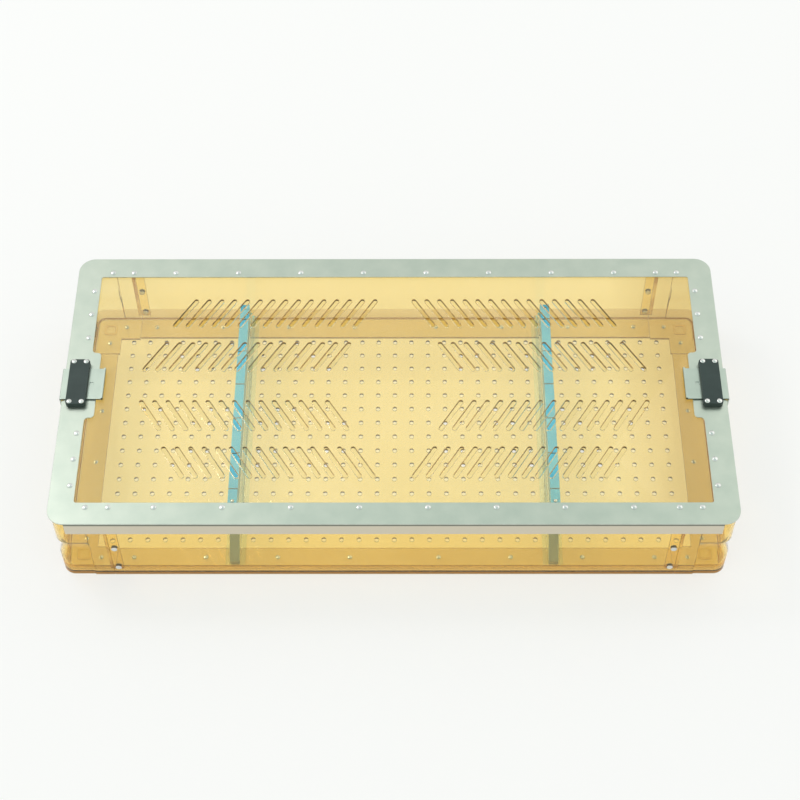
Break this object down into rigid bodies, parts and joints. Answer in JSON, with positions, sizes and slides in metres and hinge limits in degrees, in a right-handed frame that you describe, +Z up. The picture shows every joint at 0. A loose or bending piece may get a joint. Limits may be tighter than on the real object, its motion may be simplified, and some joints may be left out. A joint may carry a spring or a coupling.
{
  "type": "sterilization box",
  "caption": "Long low translucent amber tray with a perforated floor, dividers and a slotted lid in an aluminium frame that slide latches hold on.",
  "frame": {"origin": "middle of the footprint on the surface that the box stands on", "axes": "+X along the long side to the right, +Y from the front to the back, +Z up"},
  "size_m": [0.6044, 0.298, 0.0946],
  "materials": {
    "amber_plastic": "translucent moulded, satin",
    "clear_plastic": "translucent, satin",
    "blue_silicone": "matte silicone",
    "satin_aluminium": "satin, fine rolled grain",
    "black_cover": "matte with a fine grain",
    "rivet_steel": "bright, slightly domed",
    "latch_steel": "satin stainless"
  },
  "bodies": {
    "tray": {"floor_plate": "amber_plastic", "front_wall": "amber_plastic", "back_wall": "amber_plastic", "left_wall": "amber_plastic", "right_wall": "amber_plastic", "corner_front_left": "amber_plastic", "corner_front_right": "amber_plastic", "corner_back_left": "amber_plastic", "corner_back_right": "amber_plastic", "wall_rivets": "rivet_steel", "floor_rivets": "rivet_steel", "strike_left": "latch_steel", "strike_right": "latch_steel", "strike_rivets_left": "rivet_steel", "strike_rivets_right": "rivet_steel", "divider_channel_left": "clear_plastic", "divider_channel_right": "clear_plastic", "divider_strip_left": "blue_silicone", "divider_strip_right": "blue_silicone", "divider_pins": "rivet_steel"},
    "lid": {"lid_frame": "satin_aluminium", "lid_panel": "amber_plastic", "lid_rivets": "rivet_steel", "latch_cover_left": "black_cover", "latch_cover_right": "black_cover", "latch_rivets_left": "rivet_steel", "latch_rivets_right": "rivet_steel", "latch_spring_left": "latch_steel", "latch_spring_right": "latch_steel"},
    "latch_left": {"latch_plate_left": "latch_steel"},
    "latch_right": {"latch_plate_right": "latch_steel"}
  },
  "joints": [
    {"name": "lid_lift", "type": "slide", "parent": "tray", "child": "lid", "axis": [0, 0, 1], "range_m": [0, 0.12]},
    {"name": "latch_left_slide", "type": "slide", "parent": "lid", "child": "latch_left", "axis": [-1, 0, 0], "range_m": [-0.0013, 0.004]},
    {"name": "latch_right_slide", "type": "slide", "parent": "lid", "child": "latch_right", "axis": [1, 0, 0], "range_m": [-0.0013, 0.004]}
  ]
}
